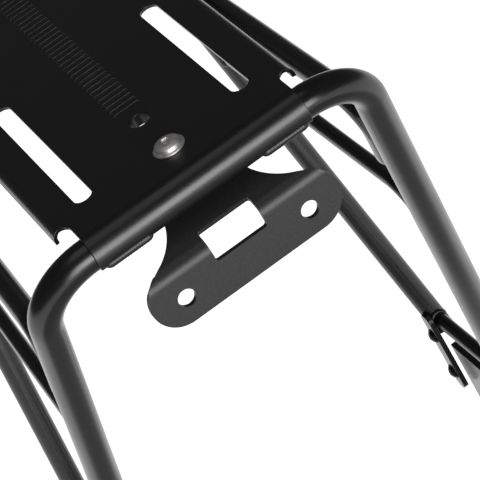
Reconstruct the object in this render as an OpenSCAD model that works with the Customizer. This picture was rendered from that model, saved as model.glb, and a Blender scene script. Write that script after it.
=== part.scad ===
// Rear carrier rack for a bicycle. Millimetres, +Z up, +Y forward, +X right.
// The origin is midway between the two axle bores.

/* [Deck] */
// Height of the deck's top face above the axle line
deck_z = 346; // [340:355]
// Deck half width to the outside of the folded edges
deck_half = 49; // [48:52]
// Sheet thickness of the deck
deck_t = 1.5; // [1.2:0.1:2]
// Outside radius of the folded edges
fold_r = 3.9; // [3.5:0.1:4.5]
// Depth of the folded edges below the top face
lip_depth = 5; // [4.8:0.1:6]
// Front end of the deck
deck_front_y = 95; // [92:100]
// Width of the long strap slots
slot_w = 6.9; // [5:0.1:8]
// Length of the long strap slots, end to end
slot_len = 87.6; // [80:90]
// Distance of the strap slots from the centre line
slot_x = 32.2; // [30:34]
// Number of narrow cross slots in the middle row
vent_n = 34; // [10:2:34]
// Pitch of the narrow cross slots
vent_pitch = 3.8; // [3.2:0.1:3.8]

/* [Rear hoop] */
// Outside radius of the rear hoop's tube
hoop_r = 6; // [5.5:0.1:6]
// Wall of the hoop tubes
hoop_wall = 1.5; // [1:0.1:1.8]
// Centreline radius of the rear hoop's bends
hoop_bend = 24; // [22:26]
// Length of each leg below its bend
leg_len = 296; // [290:300]

/* [Front hoop] */
// Outside radius of the front hoop's tube
strut_r = 4.75; // [4.5:0.05:4.75]
// Centreline radius of the front hoop's bends
strut_bend = 20; // [18:22]
// Length of each strut below its bend
strut_len = 234; // [230:238]

/* [Side rails] */
// Radius of the upper pannier rail
rail_r = 4.6; // [4:0.05:4.65]
// Radius of the lower rail and of the brace
rod_r = 3.175; // [3:0.025:3.5]
// Length of the rails' hooked rear ends along the leg
hook_len = 22; // [16:24]

/* [Foot plates] */
// Thickness of the foot plates
foot_t = 4; // [3:0.5:5]
// Inside face of each foot plate from the centre line
foot_x = 86; // [85:88]
// Radius of the axle bores
axle_r = 6.1; // [5:0.1:6.5]
// Radius of the boss around each axle bore
boss_r = 14; // [13:16]

/* [Light bracket] */
// Sheet thickness of the light bracket
brk_t = 2; // [1.6:0.1:2]
// Distance between the two light holes
light_pitch = 50; // [50:50]
// Radius of the light holes
light_r = 3.3; // [2.6:0.1:3.5]
// Slope of the bracket's arm in degrees
arm_slope = 20; // [18:21]

/* [Stays] */
// Distance of the stay pivots from the centre line
stay_x = 36; // [34:38]
// Radius of the stay rods
stay_r = 3; // [2.5:0.1:3]
// Length of the stay rods up to the flattened tip
stay_len = 140; // [130:150]
// Running clearance between moving pieces
fit_gap = 0.05; // [0.02:0.01:0.08]

/* [Hidden] */
$fn = 48;
e = 0.01;
lap = 0.2;
slack = 0.02;

// rear hoop: its top runs along X, and its legs lean forward going down
hoop_y = -168.1;
hoop_z = deck_z - deck_t - hoop_r;
hoop_lean = 26.8;
hoop_splay = 5.2;
hoop_turn = 90 - hoop_splay;
hoop_half = 43;

// front hoop: its legs lean back going down
strut_y = 61.5;
strut_z = deck_z - deck_t - strut_r;
strut_lean = 10.4;
strut_splay = 6.6;
strut_turn = 90 - strut_splay;
strut_half = 41;

// side plane, tilted and turned a little, in which the rails lie
side_x = 64.391;
side_y = -181;
side_tilt = 6.475;
side_turn = 1.533;

// rails in the side plane: u forward from side_y, v up from the deck's top
rail_v = -42;
rail_bend = 10;
rod_bend = 8;
rail_rear_bend = [42.3, rail_v];
rail_front_u = 236.5;
leg_dir_deg = 63.5;
rod_v = -102;
rod_slope = 1.8;
rod_rear_bend = [69.3, rod_v + 69.3 * tan(rod_slope)];
brace_v = -247.5;
brace_u = 200;
brace_slope = 3.9;

// foot plates
foot_front_y = 14;
foot_top_z = 84;
foot_end_z = 56;
eyelet_z = 24;
eyelet_r = 3.2;

// accessory tabs on the struts
tab_t = 2.4;
tab_x = 83.8;
tab_y = 14;
tab_w = 8;
tab_top_z = 105;
tab_low_z = 61;
tab_screw_z = [93, 71];

// deck details
roll_r = hoop_r + deck_t;
roll_gap = 0.03;
roll_half = 42.7;
roll_end = 34;
deck_rear_y = hoop_y + 8.6;
relief_w = 8;
deck_mid_y = -53.3;
slot_mid = 53.3;
screw_y = -154.4;
screw_r = 2.5;
pilot_y = -127.6;
pilot_r = 4;
collar_wall = 1.3;
collar_h = 3;
vent_len = 11;
vent_w = 1.4;

// light bracket, a bent strip of sheet seen from the side
brk_face_y = -184.1;
brk_bend_z = deck_z - 21;
brk_hole_z = deck_z - 31.7;
brk_low_z = deck_z - 40.9;
lobe_x = 26.5;
lobe_z = deck_z - 29.7;
lobe_r = 11.2;
window_half = 10.2;
window_drop = 6.1;
window_run = 6;
arm_half = 15.5;
arm_run = 22;
flare_r = 24;
flare_y = 22.5;

// stays
pivot_y = 81;
block_w = 18;
block_l = 20;
block_top = deck_z - deck_t - 0.35;
block_low = deck_z - 26;
stay_z = deck_z - 15.5;
pinch_z = deck_z - 22;
pinch_r = 2;
pivot_r = 3;
stay_rear = 55;
tip_r = 7;
tip_t = 3.2;
stay_eye_r = 2.65;

// Node shown on its own, or all of them

/* ---------- shared shapes ---------- */

// a flat stadium of length l and width w, lying along Y
module stadium(l, w) {
    square([w, l - w], center = true);
    translate([0, (l - w) / 2])
        circle(w / 2);
    translate([0, -(l - w) / 2])
        circle(w / 2);
}

// a ring section, solid when the hole is nothing
module ring(outer, hole) {
    difference() {
        circle(outer);
        if (hole > 0)
            circle(hole);
    }
}

// the straight top of a hoop, along X, running a hair into both bends
module hoop_top_tube(half, outer, hole) {
    translate([-half - lap, 0, 0])
        rotate([0, 90, 0])
            linear_extrude(2 * (half + lap))
                ring(outer, hole);
}

// one bend and leg of a hoop in the XY plane
module hoop_side_tube(half, bend, turn, leg, outer, hole) {
    translate([half, bend, 0])
        rotate([0, 0, -90])
            rotate_extrude(angle = turn)
                translate([bend, 0])
                    ring(outer - slack, hole + slack);
    translate([half, bend, 0])
        rotate([0, 0, turn - 90])
            translate([bend, -lap, 0])
                rotate([-90, 0, 0])
                    linear_extrude(leg + lap)
                        ring(outer, hole);
}

module rear_hoop_frame() {
    translate([0, hoop_y, hoop_z])
        rotate([hoop_lean - 90, 0, 0])
            children();
}

module front_hoop_frame() {
    translate([0, strut_y, strut_z])
        rotate([-strut_lean - 90, 0, 0])
            children();
}

// the two ends of the right-hand leg and strut, Z running down the tube
module leg_start() {
    rear_hoop_frame()
        translate([hoop_half, hoop_bend, 0])
            rotate([0, 0, hoop_turn - 90])
                translate([hoop_bend, 0, 0])
                    rotate([-90, 0, 0])
                        children();
}

module strut_start() {
    front_hoop_frame()
        translate([strut_half, strut_bend, 0])
            rotate([0, 0, strut_turn - 90])
                translate([strut_bend, 0, 0])
                    rotate([-90, 0, 0])
                        children();
}

module leg_core() {
    leg_start()
        cylinder(r = hoop_r, h = leg_len + 6);
}

module strut_core() {
    strut_start()
        cylinder(r = strut_r, h = strut_len + 6);
}

// the right-hand side plane: X forward, Y up, Z outward
module side_frame() {
    translate([side_x, side_y, deck_z])
        rotate([0, 0, side_turn])
            rotate([0, -side_tilt, 0])
                rotate([90, 0, 90])
                    children();
}

module left() {
    mirror([1, 0, 0])
        children();
}

// a low domed screw head with a six-sided socket, head up, shank down
module domed_screw(r, head_r, head_h, len, socket) {
    difference() {
        union() {
            translate([0, 0, -len])
                cylinder(r = r, h = len + e);
            cylinder(r = head_r, h = head_h * 0.3);
            intersection() {
                translate([0, 0, head_h - head_r * 1.25])
                    sphere(head_r * 1.25);
                cylinder(r = head_r * 0.82, h = head_h);
            }
        }
        translate([0, 0, head_h * 0.35])
            cylinder(r = socket, h = head_h, $fn = 6);
    }
}

/* ---------- deck ---------- */

// the deck's cross section: a flat sheet with both edges folded down
module deck_section() {
    translate([-(deck_half - fold_r), -deck_t])
        square([2 * (deck_half - fold_r), deck_t]);
    for (s = [-1, 1]) {
        intersection() {
            translate([s * (deck_half - fold_r), -fold_r])
                ring(fold_r, fold_r - deck_t);
            translate([s > 0 ? deck_half - fold_r : -deck_half, -fold_r])
                square(fold_r);
        }
        translate([s > 0 ? deck_half - deck_t : -deck_half, -lip_depth])
            square([deck_t, lip_depth - fold_r]);
    }
}

// the rear edge, wrapped over the hoop and ending behind and below it
module roll_section() {
    intersection() {
        ring(roll_r, hoop_r + roll_gap);
        union() {
            translate([-roll_r, 0])
                square([roll_r, roll_r]);
            rotate([0, 0, 180])
                square([roll_r, roll_r]);
        }
    }
}

module deck_plate() {
    color([0.08, 0.08, 0.085])
    difference() {
        union() {
            translate([0, deck_front_y, deck_z])
                rotate([90, 0, 0])
                    linear_extrude(deck_front_y - deck_rear_y)
                        deck_section();
            translate([-roll_half, hoop_y, deck_z - deck_t])
                cube([2 * roll_half, deck_rear_y - hoop_y, deck_t]);
            difference() {
                translate([-roll_half, hoop_y, hoop_z])
                    rotate([90, 0, 90])
                        linear_extrude(2 * roll_half)
                            roll_section();
                translate([-roll_half - 1, hoop_y, hoop_z])
                    rotate([roll_end, 0, 0])
                        translate([0, -20, -20])
                            cube([2 * roll_half + 2, 40, 20]);
            }
            // collars under the round holes
            for (k = [-1, 1])
                translate([0, deck_mid_y + k * (deck_mid_y - pilot_y), deck_z - deck_t - collar_h])
                    cylinder(r = pilot_r + collar_wall, h = collar_h + deck_t / 2);
        }
        // long strap slots, two pairs
        for (s = [-1, 1])
            for (k = [-1, 1])
                translate([s * slot_x, deck_mid_y + k * slot_mid, deck_z - 4])
                    linear_extrude(8)
                        stadium(slot_len, slot_w);
        // narrow cross slots along the middle
        for (i = [0 : vent_n - 1])
            translate([0, deck_mid_y + (i - (vent_n - 1) / 2) * vent_pitch, deck_z - 4])
                rotate([0, 0, 90])
                    linear_extrude(8)
                        stadium(vent_len, vent_w);
        // round holes at both ends of the row
        for (k = [-1, 1])
            translate([0, deck_mid_y + k * (deck_mid_y - pilot_y), deck_z - 8])
                cylinder(r = pilot_r, h = 12);
        translate([0, screw_y, deck_z - 4])
            cylinder(r = screw_r + 0.1, h = 8);
        // pivot holes for the stays
        for (s = [-1, 1])
            translate([s * stay_x, pivot_y, deck_z - 4])
                cylinder(r = pivot_r + fit_gap, h = 8);
        // notches where the front hoop bends down past the edges
        for (s = [-1, 1])
            translate([s * (strut_half + 6.5), strut_y, deck_z - 8])
                linear_extrude(16) {
                    circle(relief_w / 2 + 2);
                    translate([0, -relief_w / 2 - 2])
                        square([s > 0 ? 10 : 0.1, relief_w + 4]);
                    translate([s > 0 ? 0 : -10, -relief_w / 2 - 2])
                        square([10, relief_w + 4]);
                }
        // rounded inner corners of the rear notches
        for (s = [-1, 1])
            translate([s * (roll_half + 4.2), deck_rear_y, deck_z - 8])
                cylinder(r = 4.2, h = 16);
        // rounded outer corners of the rear notches and of the front end
        for (s = [-1, 1]) {
            corner_cut(s * deck_half, deck_rear_y, s, 1, 3);
            corner_cut(s * deck_half, deck_front_y, s, -1, 8);
        }
    }
}

// removes what stands outside a rounded corner of the deck in plan
module corner_cut(x, y, sx, sy, r) {
    translate([x - sx * r, y + sy * r, deck_z - 8])
        linear_extrude(16)
            difference() {
                translate([sx > 0 ? 0 : -r - 1, sy > 0 ? -r - 1 : 0])
                    square(r + 1);
                circle(r);
            }
}

/* ---------- hoops ---------- */

module rear_hoop() {
    color([0.07, 0.07, 0.075])
    rear_hoop_frame() {
        hoop_top_tube(hoop_half, hoop_r, hoop_r - hoop_wall);
        hoop_side_tube(hoop_half, hoop_bend, hoop_turn, leg_len, hoop_r, hoop_r - hoop_wall);
        left()
            hoop_side_tube(hoop_half, hoop_bend, hoop_turn, leg_len, hoop_r, hoop_r - hoop_wall);
    }
}

module front_hoop() {
    color([0.07, 0.07, 0.075])
    front_hoop_frame() {
        hoop_top_tube(strut_half, strut_r, strut_r - hoop_wall);
        hoop_side_tube(strut_half, strut_bend, strut_turn, strut_len, strut_r, strut_r - hoop_wall);
        left()
            hoop_side_tube(strut_half, strut_bend, strut_turn, strut_len, strut_r, strut_r - hoop_wall);
    }
}

// plastic plugs with a flat rim closing the open tube ends
module leg_plug() {
    leg_start()
        translate([0, 0, leg_len]) {
            cylinder(r = hoop_r, h = 2);
            translate([0, 0, -8])
                cylinder(r = hoop_r - hoop_wall - 0.02, h = 8 + e);
        }
}

module strut_plug() {
    strut_start()
        translate([0, 0, strut_len]) {
            cylinder(r = strut_r, h = 1.5);
            translate([0, 0, -8])
                cylinder(r = strut_r - hoop_wall - 0.02, h = 8 + e);
        }
}

/* ---------- rails ---------- */

// a rod in the side plane from its front end back to a hook lying along the leg
module hooked_rod(r, bend, slope, corner, front_u, hook) {
    turn = 180 - leg_dir_deg - slope;
    run = bend * tan(turn / 2);
    translate([corner[0], corner[1], 0])
        rotate([0, 0, slope]) {
            translate([run - lap, 0, 0])
                rotate([0, 90, 0])
                    cylinder(r = r, h = (front_u - corner[0]) / cos(slope) - run + lap);
            translate([run, -bend, 0])
                rotate([0, 0, 90])
                    rotate_extrude(angle = turn)
                        translate([bend, 0])
                            circle(r - slack);
            translate([run, -bend, 0])
                rotate([0, 0, turn])
                    translate([lap, bend, 0])
                        rotate([0, -90, 0]) {
                            cylinder(r = r, h = hook);
                            translate([0, 0, hook])
                                cylinder(r1 = r, r2 = r * 0.45, h = r * 0.5);
                        }
        }
}

module right_side_rail(r, bend, slope, corner) {
    difference() {
        side_frame()
            hooked_rod(r, bend, slope, corner, rail_front_u + 6, hook_len);
        strut_core();
        strut_front_waste();
    }
}

// everything ahead of the strut's axis, where no rail goes
module strut_front_waste() {
    strut_start()
        translate([-20, -40, -30])
            cube([40, 40, strut_len + 40]);
}

module upper_rail() {
    right_side_rail(rail_r, rail_bend, 0, rail_rear_bend);
}

module lower_rail() {
    right_side_rail(rod_r, rod_bend, rod_slope, rod_rear_bend);
}

module brace_rod() {
    translate([brace_u, brace_v, 0])
        rotate([0, 0, brace_slope])
            translate([-68, 0, 0])
                rotate([0, 90, 0])
                    cylinder(r = rod_r, h = 70);
}

// straight brace from the leg to the strut, above the foot plate
module lower_brace() {
    difference() {
        side_frame()
            brace_rod();
        leg_core();
        strut_core();
        strut_front_waste();
    }
}

/* ---------- feet ---------- */

// plate outline seen from the side: u forward, v up
module foot_outline() {
    difference() {
        union() {
            polygon([
                [foot_front_y, foot_top_z],
                [-44, foot_top_z],
                [-30, foot_end_z],
                [-boss_r, 6],
                [0, -2],
                [foot_front_y, 0]
            ]);
            circle(boss_r);
        }
        circle(axle_r);
        translate([0, eyelet_z])
            circle(eyelet_r);
        // lightening slot
        translate([-8, 56])
            rotate([0, 0, 18])
                stadium(28, 9);
    }
}

module foot_plate() {
    difference() {
        translate([foot_x, 0, 0])
            rotate([90, 0, 90])
                linear_extrude(foot_t)
                    foot_outline();
        leg_core();
        behind_leg();
    }
}

// the half space behind the leg's axis
module behind_leg() {
    leg_start()
        translate([-30, 0, -10])
            cube([60, 60, leg_len + 12.5]);
}

module eyelet_tab() {
    difference() {
        translate([tab_x, tab_y, (tab_top_z + tab_low_z) / 2])
            rotate([90, 0, 90])
                translate([0, 0, -tab_t])
                    linear_extrude(tab_t)
                        stadium(tab_top_z - tab_low_z, tab_w);
        for (z = tab_screw_z)
            translate([tab_x - tab_t - 1, tab_y, z])
                rotate([0, 90, 0])
                    cylinder(r = 2.02, h = tab_t + 2);
        strut_core();
        side_frame()
            brace_rod();
    }
}

module tab_screws() {
    for (z = tab_screw_z)
        translate([tab_x - tab_t, tab_y, z])
            rotate([0, -90, 0])
                domed_screw(2, 3.5, 2, tab_t - 1, 1.2);
}

/* ---------- light bracket ---------- */

// the bracket's face seen from behind, lobes down and a neck up
module bracket_face() {
    difference() {
        union() {
            translate([-lobe_x, brk_low_z])
                square([2 * lobe_x, brk_bend_z - brk_low_z]);
            for (s = [-1, 1])
                translate([s * lobe_x, lobe_z])
                    circle(lobe_r);
        }
        for (s = [-1, 1])
            translate([s * light_pitch / 2, brk_hole_z])
                circle(light_r);
        translate([-lobe_x - lobe_r - 1, brk_bend_z])
            square([2 * (lobe_x + lobe_r + 1), 20]);
        translate([-window_half, brk_bend_z - window_drop])
            square([2 * window_half, 20]);
    }
}

// the arm in plan: the lobes run on above the bend, and hollow arcs narrow them to the neck
module arm_plan() {
    difference() {
        union() {
            translate([-lobe_x - 4.1, 0])
                square([2 * lobe_x + 8.2, flare_y]);
            translate([-arm_half, 0])
                square([2 * arm_half, arm_run + 22]);
            for (s = [-1, 1])
                translate([s * lobe_x, lobe_z - brk_bend_z])
                    circle(lobe_r);
        }
        for (s = [-1, 1])
            translate([s * (arm_half + flare_r), flare_y])
                circle(flare_r);
        translate([-window_half, -1])
            square([2 * window_half, window_run + 1]);
    }
}

// side section of the strip above the face: bend, rising arm, joggle and tab
module arm_section() {
    rise = arm_run * tan(arm_slope);
    polygon([
        [0, 0],
        [arm_run, rise],
        [arm_run + 0.6, deck_z - deck_t - brk_bend_z - e],
        [arm_run + 16, deck_z - deck_t - brk_bend_z - e],
        [arm_run + 16, deck_z - deck_t - brk_bend_z - brk_t],
        [arm_run + 2.6, deck_z - deck_t - brk_bend_z - brk_t],
        [arm_run + 2.1, rise - brk_t * 1.1],
        [brk_t, -brk_t * 0.8]
    ]);
}

module light_bracket() {
    color([0.1, 0.1, 0.105])
    difference() {
        union() {
            translate([0, brk_face_y + brk_t, 0])
                rotate([90, 0, 0])
                    linear_extrude(brk_t)
                        bracket_face();
            intersection() {
                translate([-45, brk_face_y, brk_bend_z])
                    rotate([90, 0, 90])
                        linear_extrude(90)
                            arm_section();
                translate([0, brk_face_y, brk_bend_z - 10])
                    linear_extrude(60)
                        arm_plan();
            }
        }
        translate([0, screw_y, deck_z - 10])
            cylinder(r = screw_r + 0.1, h = 12);
    }
}

module bracket_screw() {
    color([0.75, 0.75, 0.76])
    translate([0, screw_y, deck_z + e]) {
        difference() {
            cylinder(r = 5.9, h = 0.8);
            translate([0, 0, -1])
                cylinder(r = screw_r - 0.2, h = 3);
        }
        translate([0, 0, 0.8 - e])
            domed_screw(screw_r, 4.75, 2.6, 11, 1.7);
    }
}

module bracket_nut() {
    color([0.7, 0.7, 0.71])
    translate([0, screw_y, deck_z - deck_t - brk_t - 4.05])
        difference() {
            cylinder(r = 4.6, h = 4, $fn = 6);
            translate([0, 0, -1])
                cylinder(r = screw_r + 0.02, h = 6);
        }
}

/* ---------- stays ---------- */

module stay_clamp() {
    difference() {
        translate([stay_x - block_w / 2, pivot_y - block_l / 2, block_low])
            cube([block_w, block_l, block_top - block_low]);
        // bore for the rod
        translate([stay_x, pivot_y - block_l, stay_z])
            rotate([-90, 0, 0])
                cylinder(r = stay_r + fit_gap, h = 2 * block_l);
        // clamping slit below the bore
        translate([stay_x - 0.75, pivot_y - block_l, block_low - 1])
            cube([1.5, 2 * block_l, stay_z - block_low + 1 - stay_r * 0.5]);
        // threaded hole for the pivot bolt
        translate([stay_x, pivot_y, stay_z + stay_r + 1.5])
            cylinder(r = pivot_r + 0.02, h = 20);
        // hole for the pinch screw, open at the outer side
        translate([stay_x - block_w, pivot_y, pinch_z])
            rotate([0, 90, 0])
                cylinder(r = pinch_r + 0.02, h = 2 * block_w);
        // bevelled long edges
        for (s = [-1, 1])
            translate([stay_x + s * block_w / 2, pivot_y, block_low])
                rotate([0, 45, 0])
                    cube([3, 2 * block_l, 3], center = true);
    }
}

module pivot_bolt() {
    translate([stay_x, pivot_y, deck_z + fit_gap])
        domed_screw(pivot_r, 6, 3.2, deck_z - stay_z - stay_r - 2, 2);
}

module pinch_screw() {
    translate([stay_x + block_w / 2 + 0.02, pivot_y, pinch_z])
        rotate([0, 90, 0])
            domed_screw(pinch_r, 3.8, 2.6, block_w - 1, 1.5);
}

module stay_rod() {
    difference() {
        union() {
            translate([stay_x, pivot_y - stay_rear + 1, stay_z])
                rotate([-90, 0, 0])
                    cylinder(r = stay_r, h = stay_len - 1);
            translate([stay_x, pivot_y - stay_rear, stay_z])
                rotate([-90, 0, 0])
                    cylinder(r1 = stay_r - 0.8, r2 = stay_r, h = 1 + e);
            translate([stay_x - tip_t / 2, pivot_y - stay_rear + stay_len - 6, stay_z])
                rotate([90, 0, 90])
                    linear_extrude(tip_t) {
                        polygon([[0, -2.4], [0, 2.4], [14, 6], [14, -6]]);
                        translate([15, 0])
                            circle(tip_r);
                    }
        }
        translate([stay_x - 5, pivot_y - stay_rear + stay_len + 9, stay_z])
            rotate([0, 90, 0])
                cylinder(r = stay_eye_r, h = 10);
    }
}

module stay_bolt() {
    translate([stay_x + tip_t / 2 + e, pivot_y - stay_rear + stay_len + 9, stay_z])
        rotate([0, 90, 0]) {
            difference() {
                cylinder(r = 5, h = 1);
                translate([0, 0, -1])
                    cylinder(r = 2.3, h = 3);
            }
            translate([0, 0, 1 - e])
                domed_screw(2.5, 4.6, 2.6, 15, 1.7);
        }
}

/* ---------- paired nodes ---------- */

module right_upper_rail() {
    color([0.07, 0.07, 0.075])
        upper_rail();
}

module left_upper_rail() {
    color([0.07, 0.07, 0.075])
        left()
            upper_rail();
}

module right_lower_rail() {
    color([0.07, 0.07, 0.075])
        lower_rail();
}

module left_lower_rail() {
    color([0.07, 0.07, 0.075])
        left()
            lower_rail();
}

module right_lower_brace() {
    color([0.07, 0.07, 0.075])
        lower_brace();
}

module left_lower_brace() {
    color([0.07, 0.07, 0.075])
        left()
            lower_brace();
}

module right_foot_plate() {
    color([0.09, 0.09, 0.095])
        foot_plate();
}

module left_foot_plate() {
    color([0.09, 0.09, 0.095])
        left()
            foot_plate();
}

module right_leg_plug() {
    color([0.04, 0.04, 0.04])
        leg_plug();
}

module left_leg_plug() {
    color([0.04, 0.04, 0.04])
        left()
            leg_plug();
}

module right_strut_plug() {
    color([0.04, 0.04, 0.04])
        strut_plug();
}

module left_strut_plug() {
    color([0.04, 0.04, 0.04])
        left()
            strut_plug();
}

module right_eyelet_tab() {
    color([0.09, 0.09, 0.095])
        eyelet_tab();
}

module left_eyelet_tab() {
    color([0.09, 0.09, 0.095])
        left()
            eyelet_tab();
}

module right_tab_screws() {
    color([0.2, 0.2, 0.2])
        tab_screws();
}

module left_tab_screws() {
    color([0.2, 0.2, 0.2])
        left()
            tab_screws();
}

module right_stay_clamp() {
    color([0.1, 0.1, 0.1])
        stay_clamp();
}

module left_stay_clamp() {
    color([0.1, 0.1, 0.1])
        left()
            stay_clamp();
}

module right_pivot_bolt() {
    color([0.75, 0.75, 0.76])
        pivot_bolt();
}

module left_pivot_bolt() {
    color([0.75, 0.75, 0.76])
        left()
            pivot_bolt();
}

module right_pinch_screw() {
    color([0.75, 0.75, 0.76])
        pinch_screw();
}

module left_pinch_screw() {
    color([0.75, 0.75, 0.76])
        left()
            pinch_screw();
}

module right_stay_rod() {
    color([0.07, 0.07, 0.075])
        stay_rod();
}

module left_stay_rod() {
    color([0.07, 0.07, 0.075])
        left()
            stay_rod();
}

module right_stay_bolt() {
    color([0.75, 0.75, 0.76])
        stay_bolt();
}

module left_stay_bolt() {
    color([0.75, 0.75, 0.76])
        left()
            stay_bolt();
}

deck_plate();
rear_hoop();
front_hoop();
left_upper_rail();
right_upper_rail();
left_lower_rail();
right_lower_rail();
left_lower_brace();
right_lower_brace();
left_foot_plate();
right_foot_plate();
left_leg_plug();
right_leg_plug();
left_strut_plug();
right_strut_plug();
left_eyelet_tab();
right_eyelet_tab();
left_tab_screws();
right_tab_screws();
light_bracket();
bracket_screw();
bracket_nut();
left_stay_clamp();
right_stay_clamp();
left_pivot_bolt();
right_pivot_bolt();
left_pinch_screw();
right_pinch_screw();
left_stay_rod();
right_stay_rod();
left_stay_bolt();
right_stay_bolt();
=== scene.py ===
import math

import bmesh
import bpy
import numpy as np
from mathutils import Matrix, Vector


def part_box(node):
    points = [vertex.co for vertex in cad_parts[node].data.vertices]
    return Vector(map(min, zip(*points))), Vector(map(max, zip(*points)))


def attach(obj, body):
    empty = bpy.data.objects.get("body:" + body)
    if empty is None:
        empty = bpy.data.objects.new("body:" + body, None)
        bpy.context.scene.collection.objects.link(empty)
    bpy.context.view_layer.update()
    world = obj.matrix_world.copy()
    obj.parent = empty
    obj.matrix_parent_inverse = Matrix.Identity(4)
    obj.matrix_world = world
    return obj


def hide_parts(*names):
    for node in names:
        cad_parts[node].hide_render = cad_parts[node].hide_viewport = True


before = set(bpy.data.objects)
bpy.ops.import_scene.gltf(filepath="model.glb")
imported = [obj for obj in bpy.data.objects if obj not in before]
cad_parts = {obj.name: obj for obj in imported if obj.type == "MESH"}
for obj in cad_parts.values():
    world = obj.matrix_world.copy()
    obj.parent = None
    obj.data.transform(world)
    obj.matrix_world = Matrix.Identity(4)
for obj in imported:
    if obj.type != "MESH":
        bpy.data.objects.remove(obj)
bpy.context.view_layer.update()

MM = 0.001
# a pattern's scale is this over its size in millimetres
PER_MM = 1000.0
TAU = 2.0 * math.pi

# ---------------------------------------------------------------- sizes, in millimetres
# Places come from the frame's own boxes; the numbers here are the driving sizes of the rack.
SHEET = 1.5
HOOP_R = 6.0
STRUT_R = 4.75
HOOP_WALL = 1.5
HOOP_BEND = 24.0
STRUT_BEND = 20.0
HOOP_HALF = 43.0
STRUT_HALF = 41.0
HOOP_LEAN = math.radians(26.8)
STRUT_LEAN = math.radians(-10.4)
HOOP_SPLAY = math.radians(5.2)
STRUT_SPLAY = math.radians(6.6)
LEG_LEN = 296.0
STRUT_LEN = 234.0
RAIL_R = 4.6
ROD_R = 3.175
HOOK_LEN = 22.0
LEG_ANGLE = math.radians(63.5)


def low(node):
    """Lowest corner of a CAD node's box, in millimetres."""
    return np.array(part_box(node)[0]) / MM


def high(node):
    """Highest corner of a CAD node's box, in millimetres."""
    return np.array(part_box(node)[1]) / MM


DECK_Z = high("deck_plate")[2]
HOOP_TOP = np.array([0.0, low("rear_hoop")[1] + HOOP_R, high("rear_hoop")[2] - HOOP_R])
STRUT_TOP = np.array([0.0, HOOP_TOP[1] + 229.6, high("front_hoop")[2] - STRUT_R])
SIDE_ORIGIN = np.array([64.391, HOOP_TOP[1] - 12.9, DECK_Z])
SIDE_TURN = math.radians(1.533)
SIDE_TILT = math.radians(6.475)

# ---------------------------------------------------------------- materials

# sizes of the finishes' patterns: cloudiness and specks of the coat, tool marks and smudges of the steel
CLOUD_MM = 38.0
SPECK_MM = 1.1
TOOL_MARK_MM = 2.2
SMUDGE_MM = 3.0


def srgb(code):
    """sRGB hex to linear RGBA."""
    parts = [int(code[i : i + 2], 16) / 255 for i in (1, 3, 5)]
    return [c / 12.92 if c <= 0.04045 else ((c + 0.055) / 1.055) ** 2.4 for c in parts] + [1.0]


def add(tree, kind, settings=None, links=None, stops=()):
    """Adds a node, sets its properties and input values, and links inputs from other nodes' outputs.
    stops are (place, hex) pairs for a colour ramp, which starts with two of its own."""
    node = tree.nodes.new(kind)
    for key, value in (settings or {}).items():
        if isinstance(key, str) and hasattr(node, key):
            setattr(node, key, value)
        else:
            node.inputs[key].default_value = value
    for key, (source, output) in (links or {}).items():
        tree.links.new(source.outputs[output], node.inputs[key])
    for point, (position, code) in zip(node.color_ramp.elements if stops else (), stops):
        point.position = position
        point.color = srgb(code)
    return node


def new_material(name):
    """An empty node material with its shader and object coordinates."""
    made = bpy.data.materials.new(name)
    made.use_nodes = True
    tree = made.node_tree
    tree.nodes.clear()
    shader = add(tree, "ShaderNodeBsdfPrincipled")
    add(tree, "ShaderNodeOutputMaterial", links={"Surface": (shader, "BSDF")})
    where = add(tree, "ShaderNodeTexCoord")
    return made, tree, shader, where


def coat_material(name, dark, light, rough, grit_mm, relief, coat):
    """Satin black coating on aluminium: a nearly black base, a faint cloudiness in how matt it is,
    and a fine orange-peel grit that breaks up the highlights."""
    made, tree, shader, where = new_material(name)
    at = {"Vector": (where, "Object")}
    cloud = add(tree, "ShaderNodeTexNoise", {"Scale": PER_MM / CLOUD_MM, "Detail": 3.0}, at)
    grit = add(tree, "ShaderNodeTexNoise", {"Scale": PER_MM / grit_mm, "Detail": 2.0}, at)
    speck = add(tree, "ShaderNodeTexVoronoi", {"Scale": PER_MM / SPECK_MM}, at)
    stops = [(0.35, dark), (0.7, light)]
    tint = add(tree, "ShaderNodeValToRGB", links={"Fac": (grit, "Fac")}, stops=stops)
    tree.links.new(tint.outputs["Color"], shader.inputs["Base Color"])
    matt = add(
        tree,
        "ShaderNodeMapRange",
        {"From Min": 0.3, "From Max": 0.7, "To Min": rough - 0.035, "To Max": rough + 0.045},
        {"Value": (cloud, "Fac")},
    )
    tree.links.new(matt.outputs["Result"], shader.inputs["Roughness"])
    height = add(
        tree,
        "ShaderNodeMath",
        {"operation": "MULTIPLY_ADD", 1: 0.35},
        {0: (speck, "Distance"), 2: (grit, "Fac")},
    )
    depth = {"Strength": relief, "Distance": 0.06 * MM}
    bump = add(tree, "ShaderNodeBump", depth, {"Height": (height, "Value")})
    tree.links.new(bump.outputs["Normal"], shader.inputs["Normal"])
    shader.inputs["IOR"].default_value = 1.5
    shader.inputs["Coat Weight"].default_value = coat
    shader.inputs["Coat Roughness"].default_value = 0.22
    return made


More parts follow.
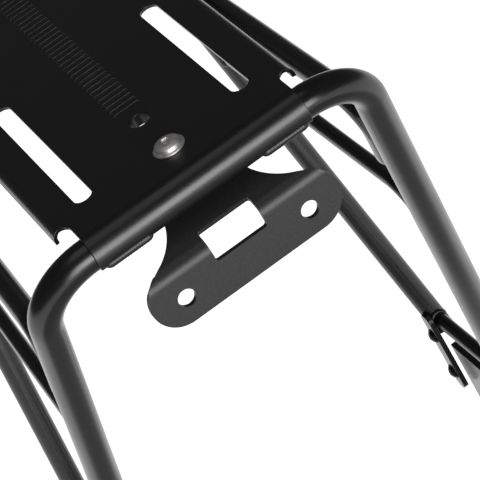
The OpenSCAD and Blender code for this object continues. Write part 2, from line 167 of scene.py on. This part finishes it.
def stainless_material():
    """Turned stainless steel, grey-white with concentric tool marks that draw thin rings of light."""
    made, tree, shader, where = new_material("turned_stainless_steel")
    at = {"Vector": (where, "Object")}
    screw = (low("bracket_screw") + high("bracket_screw")) / 2 * MM
    centre = add(tree, "ShaderNodeMapping", {"Location": (-screw[0], -screw[1], 0.0)}, at)
    rings = add(
        tree,
        "ShaderNodeTexWave",
        {
            "wave_type": "RINGS",
            "rings_direction": "Z",
            "Scale": PER_MM / TOOL_MARK_MM,
            "Distortion": 0.4,
            "Detail": 2.0,
        },
        {"Vector": (centre, "Vector")},
    )
    smudge = add(tree, "ShaderNodeTexNoise", {"Scale": PER_MM / SMUDGE_MM, "Detail": 3.0}, at)
    stops = [(0.3, "#E2E0DC"), (0.7, "#F2F0EC")]
    tint = add(tree, "ShaderNodeValToRGB", links={"Fac": (smudge, "Fac")}, stops=stops)
    tree.links.new(tint.outputs["Color"], shader.inputs["Base Color"])
    matt = add(
        tree,
        "ShaderNodeMapRange",
        {"From Min": 0.3, "From Max": 0.7, "To Min": 0.4, "To Max": 0.55},
        {"Value": (smudge, "Fac")},
    )
    tree.links.new(matt.outputs["Result"], shader.inputs["Roughness"])
    depth = {"Strength": 0.25, "Distance": 0.03 * MM}
    bump = add(tree, "ShaderNodeBump", depth, {"Height": (rings, "Fac")})
    tree.links.new(bump.outputs["Normal"], shader.inputs["Normal"])
    shader.inputs["Metallic"].default_value = 1.0
    return made


def plain_grain_material(name, dark, light, rough, grain_mm, relief, metallic=0.0):
    """A material of one tone with a fine moulded or blackened grain."""
    made, tree, shader, where = new_material(name)
    fine = {"Scale": PER_MM / grain_mm, "Detail": 4.0}
    grain = add(tree, "ShaderNodeTexNoise", fine, {"Vector": (where, "Object")})
    stops = [(0.3, dark), (0.7, light)]
    tint = add(tree, "ShaderNodeValToRGB", links={"Fac": (grain, "Fac")}, stops=stops)
    tree.links.new(tint.outputs["Color"], shader.inputs["Base Color"])
    depth = {"Strength": relief, "Distance": 0.08 * MM}
    bump = add(tree, "ShaderNodeBump", depth, {"Height": (grain, "Fac")})
    tree.links.new(bump.outputs["Normal"], shader.inputs["Normal"])
    shader.inputs["Roughness"].default_value = rough
    shader.inputs["Metallic"].default_value = metallic
    return made


# satin powder coat on the sheet deck: even and nearly black, soft wide highlights
SHEET_COAT = coat_material("satin_powder_coat_sheet", "#0B0B0C", "#131314", 0.31, 0.7, 0.3, 0.15)
# the same coat on drawn tube, a little smoother, so its streaks are narrower
TUBE_COAT = coat_material("satin_powder_coat_tube", "#0A0A0B", "#111112", 0.25, 0.8, 0.2, 0.15)
# coated steel of the light bracket: greyer and more matt, with visible grit
BRACKET_COAT = coat_material("grained_powder_coat_steel", "#1B1A1C", "#282729", 0.4, 0.55, 0.5, 0.0)
# weld beads lie under the coat, so they share its tone and are rougher
WELD_COAT = coat_material("coated_weld_bead", "#0B0B0C", "#161617", 0.4, 0.6, 0.5, 0.1)
STAINLESS = stainless_material()
# black oxide on small screws: blue-black and slightly glossy
BLACK_OXIDE = plain_grain_material("black_oxide_steel", "#0D0D0F", "#19191C", 0.32, 0.5, 0.2, 1.0)
# moulded plug plastic: matt, with a fine pebble grain
PLUG_PLASTIC = plain_grain_material("moulded_polyethylene", "#0C0C0C", "#151515", 0.6, 0.45, 0.5)

# ---------------------------------------------------------------- making pieces


def place(obj, body, slot, *nodes):
    """A finished piece rides on its body and may stand for CAD nodes, whose parts it hides. The slot is not
    used.
    """
    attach(obj, body)
    if nodes:
        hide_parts(*nodes)
    return obj


def finished(name, mesh, material):
    """An object of a mesh, smoothly shaded and with its one material."""
    mesh.polygons.foreach_set("use_smooth", np.ones(len(mesh.polygons), bool))
    mesh.materials.clear()
    mesh.materials.append(material)
    obj = bpy.data.objects.new(name, mesh)
    bpy.context.scene.collection.objects.link(obj)
    return obj


def grid_piece(name, points, material, wrap_rows=False, wrap_columns=True, flip=False):
    """A surface through a grid of points (rows, columns, xyz, in millimetres), each cell one quad.
    Rows or columns that wrap are joined to their first ones. Rows that shrink to a point are welded."""
    rows, columns = points.shape[:2]
    r = np.arange(rows if wrap_rows else rows - 1)[:, None]
    c = np.arange(columns if wrap_columns else columns - 1)[None, :]
    r2, c2 = (r + 1) % rows, (c + 1) % columns
    corners = [r * columns + c, r * columns + c2, r2 * columns + c2, r2 * columns + c]
    quads = np.stack(corners, axis=-1)
    quads = quads.reshape(-1, 4)
    if flip:
        quads = quads[:, ::-1]
    mesh = bpy.data.meshes.new(name)
    mesh.from_pydata((points.reshape(-1, 3) * MM).tolist(), [], quads.tolist())
    work = bmesh.new()
    work.from_mesh(mesh)
    bmesh.ops.remove_doubles(work, verts=work.verts, dist=1e-7)
    work.to_mesh(mesh)
    work.free()
    return finished(name, mesh, material)


def joined(name, objs):
    """Several finished pieces as one mesh."""
    work = bmesh.new()
    for obj in objs:
        work.from_mesh(obj.data)
    mesh = bpy.data.meshes.new(name)
    work.to_mesh(mesh)
    work.free()
    material = objs[0].data.materials[0]
    for obj in objs:
        bpy.data.objects.remove(obj)
    return finished(name, mesh, material)


def swept(path, tangent, normal, radii, sides=64):
    """Rings round a path in one plane: centre + radius * (cos a * normal + sin a * (tangent x normal))."""
    a = (np.arange(sides) * TAU / sides)[None, :, None]
    side = np.cross(tangent, normal)[:, None, :]
    ring = np.cos(a) * normal[None, None, :] + np.sin(a) * side
    return path[:, None, :] + radii[:, None, None] * ring


def bent_path(legs, turns, bend, start, heading, step=2.0):
    """A path in a plane: straight, arc, straight and so on. legs are straight lengths, turns the angles
    between them, bend the arcs' radius. Adds up short chords into arrays of 2-D places and headings."""
    lengths, angles = [], []
    for i, leg in enumerate(legs):
        n = max(int(leg / 6.0), 2)
        lengths.append(np.full(n, leg / n))
        angles.append(np.zeros(n))
        if i < len(turns):
            n = max(int(abs(turns[i]) * bend / step), 10)
            chord = 2 * bend * math.sin(abs(turns[i]) / n / 2)
            lengths.append(np.full(n, chord))
            angles.append(np.full(n, turns[i] / n))
    lengths, angles = np.concatenate(lengths), np.concatenate(angles)
    before = heading + np.concatenate([[0.0], np.cumsum(angles)[:-1]])
    middle = before + angles / 2
    steps = lengths[:, None] * np.stack([np.cos(middle), np.sin(middle)], axis=1)
    places = np.concatenate([[start], start + np.cumsum(steps, axis=0)])
    headings = heading + np.concatenate([[0.0], np.cumsum(angles)])
    return places, np.stack([np.cos(headings), np.sin(headings)], axis=1)


def lifted(flat, origin, across, along):
    """2-D points or directions into space: origin + x * across + y * along."""
    return origin + flat[:, :1] * across + flat[:, 1:] * along


def hollow_tube(name, path, tangent, normal, outer, inner, material):
    """A tube with open ends: outer wall, rounded rim, inner wall back and the other rim, one closed skin."""
    rim = (outer - inner) / 2
    a = np.linspace(0, math.pi, 7)[1:-1]
    out_r = np.full(len(path), outer)
    end_r = (outer + inner) / 2 + rim * np.cos(a)
    end_shift = 0.35 * rim * np.sin(a)
    end_c = path[-1] + end_shift[:, None] * tangent[-1]
    start_c = path[0] - end_shift[:, None] * tangent[0]
    centres = np.concatenate([path, end_c, path[::-1], start_c])
    tangents = np.concatenate(
        [tangent, np.repeat(tangent[-1:], len(a), 0), tangent[::-1], np.repeat(tangent[:1], len(a), 0)]
    )
    radii = np.concatenate([out_r, end_r, np.full(len(path), inner), end_r[::-1]])
    return grid_piece(name, swept(centres, tangents, normal, radii), material, wrap_rows=True)


def solid_rod(name, path, tangent, normal, radius, material, round_start=0.5, round_end=0.5, sides=48):
    """A solid bar whose two ends are rounded over by a share of its radius and closed at a pole."""
    a = np.linspace(0, math.pi / 2, 7)

    def cap(share):
        edge = share * radius
        return (radius - edge) + edge * np.sin(a), -edge * np.cos(a)

    r1, s1 = cap(round_start)
    r2, s2 = cap(round_end)
    inset1, inset2 = round_start * radius, round_end * radius
    first = path[0] + (inset1 + s1)[:, None] * tangent[0]
    last = path[-1] - ((inset2 + s2)[::-1])[:, None] * tangent[-1]
    centres = np.concatenate([first[:1], first, path[1:-1], last, last[-1:]])
    tangents = np.concatenate(
        [np.repeat(tangent[:1], len(a) + 1, 0), tangent[1:-1], np.repeat(tangent[-1:], len(a) + 1, 0)]
    )
    radii = np.concatenate([[0.0], r1, np.full(len(path) - 2, radius), r2[::-1], [0.0]])
    return grid_piece(name, swept(centres, tangents, normal, radii, sides), material)


def refined(name, node, material, edge=0.25, sharp=35.0):
    """A copy of a CAD node with its triangles merged and its sharp edges rounded by edge millimetres."""
    work = bmesh.new()
    work.from_mesh(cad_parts[node].data)
    bmesh.ops.remove_doubles(work, verts=work.verts, dist=2e-6)
    bmesh.ops.dissolve_limit(work, angle_limit=math.radians(0.8), verts=work.verts, edges=work.edges)
    corners = [e for e in work.edges if e.is_manifold and e.calc_face_angle() > math.radians(sharp)]
    bmesh.ops.bevel(
        work, geom=corners, offset=edge * MM, offset_type="OFFSET", segments=2, profile=0.6, affect="EDGES",
        clamp_overlap=False,
    )
    mesh = bpy.data.meshes.new(name)
    work.to_mesh(mesh)
    work.free()
    obj = finished(name, mesh, material)
    even = obj.modifiers.new("even_normals", "WEIGHTED_NORMAL")
    even.keep_sharp = True
    return obj


RIPPLE = 1.15


def weld_bead(name, path, radius, material):
    """A weld bead along a path: a round section with domed ends that swells a little with each ripple.
    The radius is r * (1 + 0.05 * |sin(pi * length / ripple)|), times a quarter circle at each end."""
    steps = np.diff(path, axis=0)
    run = np.concatenate([[0.0], np.cumsum(np.linalg.norm(steps, axis=1))])
    n = max(int(run[-1] / 0.25), 24)
    t = np.linspace(0.0, 1.0, n)
    dense = np.stack([np.interp(t * run[-1], run, path[:, k]) for k in range(3)], axis=1)
    tangent = np.gradient(dense, axis=0)
    tangent /= np.linalg.norm(tangent, axis=1)[:, None]
    up = np.array([0.31, 0.52, 0.79])
    side = np.cross(tangent, up)
    side /= np.linalg.norm(side, axis=1)[:, None]
    out = np.cross(side, tangent)
    ends = np.clip(np.minimum(t, 1 - t) * run[-1] / (1.5 * radius), 0, 1)
    swell = 1 + 0.05 * np.abs(np.sin(t * run[-1] * math.pi / RIPPLE))
    size = radius * np.sqrt(1 - (1 - ends) ** 2) * swell
    a = (np.arange(14) * TAU / 14)[None, :, None]
    ring = np.cos(a) * side[:, None, :] + np.sin(a) * out[:, None, :]
    return grid_piece(name, dense[:, None, :] + size[:, None, None] * ring, material, flip=True)


def mirrored(points):
    """The same points on the other side of the rack."""
    return points * np.array([-1.0, 1.0, 1.0])


SIDES = {"right": 1.0, "left": -1.0}

# ---------------------------------------------------------------- hoops


def hoop(name, node, top, half, bend, splay, lean, leg, outer):
    """One bent tube: leg, bend, straight top, bend, leg, in a plane that leans along the rack."""
    turn = math.pi / 2 - splay
    end_x = half + bend * math.sin(turn) + leg * math.sin(splay)
    end_y = bend * (1 - math.cos(turn)) + leg * math.cos(splay)
    flat, heading = bent_path(
        [leg, 2 * half, leg], [turn, turn], bend, np.array([-end_x, end_y]), -math.pi / 2 + splay
    )
    across = np.array([1.0, 0.0, 0.0])
    along = np.array([0.0, math.sin(lean), -math.cos(lean)])
    path = lifted(flat, top, across, along)
    tangent = lifted(heading, np.zeros(3), across, along)
    normal = np.cross(across, along)
    obj = hollow_tube(name, path, tangent, normal, outer, outer - HOOP_WALL, TUBE_COAT)
    return place(obj, "frame", "coat_tube", node)


rear_size = (HOOP_TOP, HOOP_HALF, HOOP_BEND, HOOP_SPLAY, HOOP_LEAN, LEG_LEN, HOOP_R)
front_size = (STRUT_TOP, STRUT_HALF, STRUT_BEND, STRUT_SPLAY, STRUT_LEAN, STRUT_LEN, STRUT_R)
hoop("rear_hoop_tube", "rear_hoop", *rear_size)
hoop("front_hoop_tube", "front_hoop", *front_size)

# ---------------------------------------------------------------- side rails

U_AXIS = np.array([-math.sin(SIDE_TURN), math.cos(SIDE_TURN), 0.0])
V_AXIS = np.array(
    [
        -math.sin(SIDE_TILT) * math.cos(SIDE_TURN),
        -math.sin(SIDE_TILT) * math.sin(SIDE_TURN),
        math.cos(SIDE_TILT),
    ]
)
W_AXIS = np.cross(U_AXIS, V_AXIS)
# the rails' front ends lie on the strut, which leans back by this share of the drop below the upper rail
FRONT_U = 236.5
STRUT_SLANT = 0.185
# each rail: corner of its bend in the side's plane, slope, bend radius and bar radius
LOWER_SLOPE = math.radians(1.8)
UPPER_CORNER = (42.3, -42.0)
LOWER_CORNER = (69.3, -102.0 + 69.3 * math.tan(LOWER_SLOPE))
RAILS = {
    "upper_rail": (UPPER_CORNER, 0.0, 10.0, RAIL_R),
    "lower_rail": (LOWER_CORNER, LOWER_SLOPE, 8.0, ROD_R),
}


def hooked_rail(side, node, corner, slope, bend, radius):
    """A bar from the strut back to a bend and down along the leg, in the tilted plane of the side."""
    turn = math.pi - LEG_ANGLE - slope
    run = bend * math.tan(turn / 2)
    front = FRONT_U - STRUT_SLANT * (UPPER_CORNER[1] - corner[1])
    start = np.array([front, corner[1] + (front - corner[0]) * math.tan(slope)])
    straight = (front - corner[0]) / math.cos(slope) - run
    flat, heading = bent_path([straight, HOOK_LEN], [turn], bend, start, math.pi + slope, step=0.7)
    path = lifted(flat, SIDE_ORIGIN, U_AXIS, V_AXIS)
    tangent = lifted(heading, np.zeros(3), U_AXIS, V_AXIS)
    normal = W_AXIS
    if SIDES[side] < 0:
        path, tangent, normal = mirrored(path), mirrored(tangent), mirrored(normal)
    obj = solid_rod(node + "_bar", path, tangent, normal, radius, TUBE_COAT, 0.1, 0.9)
    return place(obj, "frame", "coat_tube", node)


for side in SIDES:
    for rail, sizes in RAILS.items():
        hooked_rail(side, side + "_" + rail, *sizes)

# ---------------------------------------------------------------- sheet and plate parts

place(refined("deck_sheet", "deck_plate", SHEET_COAT, 0.3), "frame", "coat_sheet", "deck_plate")
place(refined("bracket_lock_nut", "bracket_nut", STAINLESS, 0.2), "frame", "stainless", "bracket_nut")
for side in SIDES:
    brace = side + "_lower_brace"
    place(refined(brace + "_bar", brace, TUBE_COAT, 0.15), "frame", "coat_tube", brace)
    for part, label, edge in (("foot_plate", "dropout", 0.4), ("eyelet_tab", "strip", 0.3)):
        node = side + "_" + part
        plate = refined(node + "_" + label, node, SHEET_COAT, edge)
        place(plate, "frame", "coat_plate", node)
    for part in ("leg_plug", "strut_plug"):
        node = side + "_" + part
        place(refined(node + "_cap", node, PLUG_PLASTIC, 0.4), "frame", "plug", node)
    node = side + "_tab_screws"
    place(refined(node + "_pair", node, BLACK_OXIDE, 0.1), "frame", "black_screw", node)
    clamp, stay = side + "_clamp", side + "_stay"
    node = side + "_stay_clamp"
    place(refined(node + "_block", node, SHEET_COAT, 0.4), clamp, "coat_plate", node)
    for part in ("pivot_bolt", "pinch_screw"):
        node = side + "_" + part
        place(refined(node + "_head", node, STAINLESS, 0.1), clamp, "stainless", node)
    node = side + "_stay_rod"
    place(refined(node + "_bar", node, TUBE_COAT, 0.15, 60.0), stay, "coat_tube", node)
    node = side + "_stay_bolt"
    place(refined(node + "_head", node, STAINLESS, 0.1), stay, "stainless", node)

# ---------------------------------------------------------------- light bracket

BRACKET_T = 2.0
BRACKET_BEND = 4.2
BRACKET_BACK = low("light_bracket")[1] + 0.02
LOBE_X, LOBE_DROP, LOBE_R = 26.5, 8.7, 11.2
NECK_HALF, FLARE_R, FLARE_UP = 15.5, 24.0, 23.8
ARM_SLOPE = math.radians(20)
LIGHT_HOLE = (25.0, -10.7, 3.3)
WINDOW = (10.2, -6.1, 6.1, 1.0)
SCREW_AT = (low("bracket_screw") + high("bracket_screw")) / 2
SCREW_HOLE, TAB_END = 40.3, 48.0


def arc(centre, radius, start, end, n):
    """Points on a circle from one angle to another, both in degrees."""
    a = np.radians(np.linspace(start, end, n))
    return np.stack([centre[0] + radius * np.cos(a), centre[1] + radius * np.sin(a)], axis=1)


def blank_loops():
    """The bracket's flat blank: x across, s along the strip, 0 at the fold and negative down the face.
    Outline: bottom edge, a lobe's circle, a hollow arc that meets it smoothly, the neck; then the holes."""
    meet = math.degrees(math.atan2(FLARE_UP + LOBE_DROP, NECK_HALF + FLARE_R - LOBE_X))
    lobe = arc((LOBE_X, -LOBE_DROP), LOBE_R, -90, meet, 40)
    flare = arc((NECK_HALF + FLARE_R, FLARE_UP), FLARE_R, meet - 180 - 0.01, -180, 24)
    end = np.array([[NECK_HALF, TAB_END - 2.0], [NECK_HALF - 2.0, TAB_END]])
    half = np.concatenate([lobe, flare, end])
    outline = np.concatenate([half, half[::-1] * (-1, 1)])
    x, s, r = LIGHT_HOLE
    w, low_s, high_s, c = WINDOW
    window = np.concatenate(
        [
            arc((w - c, high_s - c), c, 0, 90, 5),
            arc((c - w, high_s - c), c, 90, 180, 5),
            arc((c - w, low_s + c), c, 180, 270, 5),
            arc((w - c, low_s + c), c, 270, 360, 5),
        ]
    )
    rounds = [arc((side * x, s), r, 0, 352.5, 48) for side in (1, -1)]
    rounds.append(arc((0.0, SCREW_HOLE), 2.6, 0, 345, 24))
    return [outline, window] + rounds


def strip_path(s):
    """Where a length s along the strip's middle lies in the side view: down the face for s below the fold,
    round the fold's arc, up the sloping arm, and by a steep step to a level tab under the deck."""
    turn = math.pi / 2 - ARM_SLOPE
    half = BRACKET_BEND * turn / 2
    steep = math.radians(86)
    stations = [-30.0, -half, half, 22.6, 24.0, 33.5, 34.9, 60.0]
    angles = [math.pi / 2, math.pi / 2, ARM_SLOPE, ARM_SLOPE, steep, steep, 0.0, 0.0]
    fine = np.linspace(-30.0, 60.0, 9001)
    angle = np.interp(fine, stations, angles)
    step = fine[1] - fine[0]
    y = np.concatenate([[0.0], np.cumsum(np.cos((angle[1:] + angle[:-1]) / 2) * step)])
    z = np.concatenate([[0.0], np.cumsum(np.sin((angle[1:] + angle[:-1]) / 2) * step)])
    top = DECK_Z - SHEET - BRACKET_T / 2 - 0.05
    y += BRACKET_BACK + BRACKET_T / 2 - y[0]
    z += top - z[-1]
    return np.interp(s, fine, y), np.interp(s, fine, z)


def light_bracket():
    """The bent sheet: its flat blank is filled, cut across in fine rows, carried along the strip's side
    view, then given its thickness and softly rounded cut edges."""
    curve = bpy.data.curves.new("blank", "CURVE")
    curve.dimensions = "2D"
    curve.fill_mode = "BOTH"
    for loop in blank_loops():
        spline = curve.splines.new("POLY")
        spline.points.add(len(loop) - 1)
        flat = np.concatenate([loop, np.zeros((len(loop), 1)), np.ones((len(loop), 1))], axis=1)
        spline.points.foreach_set("co", flat.ravel())
        spline.use_cyclic_u = True
    blank = bpy.data.objects.new("blank", curve)
    bpy.context.scene.collection.objects.link(blank)
    mesh = bpy.data.meshes.new_from_object(blank)
    bpy.data.objects.remove(blank)
    work = bmesh.new()
    work.from_mesh(mesh)
    bmesh.ops.remove_doubles(work, verts=work.verts, dist=1e-4)
    bmesh.ops.dissolve_limit(work, angle_limit=0.01, verts=work.verts, edges=work.edges)
    rows = np.concatenate([np.arange(-3.4, 3.5, 0.35), np.arange(21.8, 35.8, 0.5)])
    for row in rows:
        everything = list(work.verts) + list(work.edges) + list(work.faces)
        bmesh.ops.bisect_plane(work, geom=everything, plane_co=(0, row, 0), plane_no=(0, 1, 0), dist=1e-5)
    work.to_mesh(mesh)
    work.free()
    flat = np.zeros(len(mesh.vertices) * 3)
    mesh.vertices.foreach_get("co", flat)
    flat = flat.reshape(-1, 3)
    y, z = strip_path(flat[:, 1])
    bent = np.stack([flat[:, 0], y, z], axis=1) * MM
    mesh.vertices.foreach_set("co", bent.ravel())
    mesh.update()
    obj = finished("light_bracket_sheet", mesh, BRACKET_COAT)
    thick = obj.modifiers.new("sheet_thickness", "SOLIDIFY")
    thick.thickness = BRACKET_T * MM
    thick.offset = 0.0
    thick.use_even_offset = True
    edges = obj.modifiers.new("rounded_edges", "BEVEL")
    edges.width = 0.35 * MM
    edges.segments = 3
    edges.limit_method = "ANGLE"
    edges.angle_limit = math.radians(50)
    even = obj.modifiers.new("even_normals", "WEIGHTED_NORMAL")
    even.keep_sharp = True
    return obj


place(light_bracket(), "frame", "coat_steel", "light_bracket")

# ---------------------------------------------------------------- bracket screw

HEAD_R, FLANGE_R, HEAD_H, FLANGE_H = 4.75, 5.9, 2.35, 0.8
SOCKET_R, SOCKET_LOBE, SOCKET_DEPTH = 1.75, 0.3, 1.7


def button_head(name, centre, material, shank_r, shank_len):
    """A flanged button head with a six-lobed socket, as rings round its axis. From the middle outward:
    socket floor, wall and rim, a dome that falls with the 2.2nd power of the radius, its shoulder, the
    flange's rounded edge, the underside and the shank. Rings in and near the socket have the radius
    r + half the lobe * cos 6a, and the lobe fades out over the dome."""
    top = FLANGE_H + HEAD_H
    dome_r = np.linspace(SOCKET_R + 0.28, HEAD_R - 0.15, 16)
    dome_z = top - 1.05 * ((dome_r - SOCKET_R) / (HEAD_R - SOCKET_R)) ** 2.2
    a = np.linspace(0, math.pi, 7)
    flange_r = FLANGE_R - 0.3 + 0.3 * np.sin(a)
    flange_z = FLANGE_H / 2 + FLANGE_H / 2 * np.cos(a)
    radii = np.concatenate(
        [[0.0, 0.8, SOCKET_R - 0.12, SOCKET_R - 0.04, SOCKET_R, SOCKET_R + 0.1], dome_r]
        + [[HEAD_R - 0.03, HEAD_R, HEAD_R + 0.02, HEAD_R + 0.18, HEAD_R + 0.4], flange_r]
        + [[shank_r, shank_r, shank_r - 0.3, 0.0]]
    )
    floor_z = top - SOCKET_DEPTH
    heights = np.concatenate(
        [[floor_z - 0.25, floor_z - 0.1, floor_z, top - 0.18, top - 0.05, top], dome_z]
        + [[dome_z[-1] - 0.3, dome_z[-1] - 0.7, FLANGE_H + 0.35, FLANGE_H + 0.06, FLANGE_H], flange_z]
        + [[0.0, -shank_len, -shank_len - 0.3, -shank_len - 0.3]]
    )
    lobe = SOCKET_LOBE * np.clip((SOCKET_R + 1.1 - radii) / 0.9, 0, 1) * np.clip(radii / 0.8, 0, 1)
    around = np.arange(96) * TAU / 96
    r = radii[:, None] + lobe[:, None] * np.cos(6 * around)[None, :] * 0.5
    r[0] = 0.0
    points = np.stack(
        [
            centre[0] + r * np.cos(around)[None, :],
            centre[1] + r * np.sin(around)[None, :],
            centre[2] + heights[:, None] + 0.0 * r,
        ],
        axis=-1,
    )
    return grid_piece(name, points, material, flip=True)


SHANK_R, SHANK_LEN = 2.5, 9.9
screw_seat = (SCREW_AT[0], SCREW_AT[1], DECK_Z + 0.01)
screw = button_head("bracket_button_screw", screw_seat, STAINLESS, SHANK_R, SHANK_LEN)
place(screw, "frame", "stainless", "bracket_screw")

# ---------------------------------------------------------------- weld beads


def hook_welds(side, corner, slope, bend, radius):
    """Two beads, inside and outside, in the grooves between a rail's hook and the leg it lies along."""
    turn = math.pi - LEG_ANGLE - slope
    run = bend * math.tan(turn / 2)
    t = np.linspace(run - 1.0, run + HOOK_LEN - 1.0, 30)
    u = corner[0] + t * math.cos(LEG_ANGLE)
    v = corner[1] - t * math.sin(LEG_ANGLE)
    # the groove lies 0.78 of the bar's radius toward the leg and 0.62 of it out of the plane
    u = u - 0.78 * radius * math.sin(LEG_ANGLE)
    v = v - 0.78 * radius * math.cos(LEG_ANGLE)
    beads = []
    for out in (1.0, -1.0):
        path = SIDE_ORIGIN + u[:, None] * U_AXIS + v[:, None] * V_AXIS + out * radius * 0.62 * W_AXIS
        beads.append(path if SIDES[side] > 0 else mirrored(path))
    return beads


def ring_weld(centre, axis, radius):
    """A bead's path round a joint: a circle about an axis."""
    axis = axis / np.linalg.norm(axis)
    first = np.cross(axis, np.array([0.0, 0.0, 1.0]))
    first /= np.linalg.norm(first)
    second = np.cross(axis, first)
    a = np.linspace(0.0, TAU, 40)[:, None]
    return centre + radius * (np.cos(a) * first + np.sin(a) * second)


def side_point(side, u, v):
    """A place in the tilted plane of one side."""
    point = SIDE_ORIGIN + u * U_AXIS + v * V_AXIS
    return point if SIDES[side] > 0 else mirrored(point)


# where bars meet the strut or the leg, in the side's plane, and the bar's radius
BEAD_R = 1.05
BAR_ENDS = ((231.0, -42.0, RAIL_R), (220.3, -95.2, ROD_R), (193.4, -248.0, ROD_R), (142.0, -251.4, ROD_R))
for side in SIDES:
    beads = [path for sizes in RAILS.values() for path in hook_welds(side, *sizes)]
    forward_axis = U_AXIS if SIDES[side] > 0 else mirrored(U_AXIS)
    for u, v, r in BAR_ENDS:
        beads.append(ring_weld(side_point(side, u, v), forward_axis, r + 0.25))
    objs = [weld_bead(side + "_bead", path, BEAD_R, WELD_COAT) for path in beads]
    place(joined(side + "_side_weld_beads", objs), "frame", "coat_tube")

# the rolled edge is welded to the hoop in two runs near its ends
FLAP_END = math.radians(31)
FLAP_MID_R = 6.9
FLAP_BEAD_R = 1.7
objs = []
for sign in SIDES.values():
    x = np.linspace(22.0, 41.0, 30) * sign
    y = np.full(30, HOOP_TOP[1] - FLAP_MID_R * math.cos(FLAP_END))
    z = np.full(30, HOOP_TOP[2] - FLAP_MID_R * math.sin(FLAP_END))
    objs.append(weld_bead("bead", np.stack([x, y, z], axis=1), FLAP_BEAD_R, WELD_COAT))
place(joined("deck_edge_weld_beads", objs), "frame", "coat_sheet")

# ---------------------------------------------------------------- camera, floor and lights


def area_light(name, place_mm, aim_mm, size_mm, watts, spread=180):
    """A soft box: a flat white lamp at place_mm that faces aim_mm, its beam spread degrees wide."""
    lamp = bpy.data.lights.new(name, "AREA")
    lamp.shape = "RECTANGLE"
    lamp.size, lamp.size_y = size_mm[0] * MM, size_mm[1] * MM
    lamp.energy = watts
    lamp.spread = math.radians(spread)
    obj = bpy.data.objects.new(name, lamp)
    obj.location = Vector(place_mm) * MM
    toward = (Vector(aim_mm) - Vector(place_mm)).normalized()
    obj.rotation_euler = toward.to_track_quat("-Z", "Y").to_euler()
    bpy.context.scene.collection.objects.link(obj)
    return obj


# the view: from behind and above, the camera rolled to its left
VIEW_AIM = Vector((0.6, -178.7, 316.0)) * MM
VIEW_DISTANCE = 0.898
VIEW_AZIMUTH = math.radians(8.7)
VIEW_ELEVATION = math.radians(32.5)
VIEW_ROLL = math.radians(31.0)
camera = bpy.data.cameras.new("camera")
camera.lens = 205.0
camera.sensor_width = 36.0
camera.clip_start = 0.05
camera.clip_end = 20.0
view = bpy.data.objects.new("camera", camera)
bpy.context.scene.collection.objects.link(view)
forward = Vector(
    (
        math.sin(VIEW_AZIMUTH) * math.cos(VIEW_ELEVATION),
        math.cos(VIEW_AZIMUTH) * math.cos(VIEW_ELEVATION),
        -math.sin(VIEW_ELEVATION),
    )
)
level = forward.cross(Vector((0, 0, 1))).normalized()
upward = level.cross(forward)
right = math.cos(VIEW_ROLL) * level - math.sin(VIEW_ROLL) * upward
above = math.cos(VIEW_ROLL) * upward + math.sin(VIEW_ROLL) * level
turned = view.matrix_world.copy()
for row in range(3):
    turned[row][0], turned[row][1], turned[row][2] = right[row], above[row], -forward[row]
    turned[row][3] = (VIEW_AIM - forward * VIEW_DISTANCE)[row]
view.matrix_world = turned
bpy.context.scene.camera = view

# a plain white floor that glows, with a painted shadow: a soft round patch under and behind the rack where
# the glow is dimmer, which the legs mirror
FLOOR_SHADOW_PATCH = (-0.05, -0.4)
FLOOR_SHADOW_PATCH_R = 0.42
floor_material, floor_tree, floor_shader, where = new_material("white_studio_floor")
floor_shader.inputs["Base Color"].default_value = srgb("#FAFAFA")
floor_shader.inputs["Roughness"].default_value = 0.9
floor_shader.inputs["Specular IOR Level"].default_value = 0.1
floor_shader.inputs["Emission Color"].default_value = (1.0, 1.0, 1.0, 1.0)
shadow_patch = add(
    floor_tree,
    "ShaderNodeMapping",
    {
        "Location": (-FLOOR_SHADOW_PATCH[0] / FLOOR_SHADOW_PATCH_R, -FLOOR_SHADOW_PATCH[1] / FLOOR_SHADOW_PATCH_R, 0.0),
        "Scale": (1 / FLOOR_SHADOW_PATCH_R, 1 / FLOOR_SHADOW_PATCH_R, 0.0),
    },
    {"Vector": (where, "Object")},
)
away = add(floor_tree, "ShaderNodeVectorMath", {"operation": "LENGTH"}, {0: (shadow_patch, "Vector")})
# painted shadow: the glow falls to 0.08 inside the round patch and rises smoothly to full outside it
glow_with_painted_shadow = add(
    floor_tree,
    "ShaderNodeMapRange",
    {
        "interpolation_type": "SMOOTHSTEP",
        "From Min": 0.72,
        "From Max": 1.05,
        "To Min": 0.08,
        "To Max": 1.0,
    },
    {"Value": (away, "Value")},
)
floor_tree.links.new(glow_with_painted_shadow.outputs["Result"], floor_shader.inputs["Emission Strength"])
floor_z = low("left_foot_plate")[2] - 0.5
reach = np.linspace(-2600.0, 2600.0, 2)
across, along = np.meshgrid(reach, reach, indexing="ij")
floor_points = np.stack([across, along, np.full((2, 2), floor_z)], axis=-1)
floor = grid_piece("studio_floor", floor_points, floor_material, wrap_columns=False)

# a dim room, a broad window behind the rack at deck height and a weak soft box overhead
world = bpy.data.worlds.new("dim_room")
world.use_nodes = True
bpy.context.scene.world = world
sky = world.node_tree.nodes["Background"]
sky.inputs["Color"].default_value = (1.0, 1.0, 1.0, 1.0)
sky.inputs["Strength"].default_value = 0.08

area_light("rear_window", (0, -1450, 450), (0, -180, 400), (1100, 760), 3.6, spread=70)
area_light("top_softbox", (-60, -330, 1400), (0, -150, 340), (700, 700), 1)

bpy.context.scene.view_settings.view_transform = "Standard"
bpy.context.scene.view_settings.look = "None"
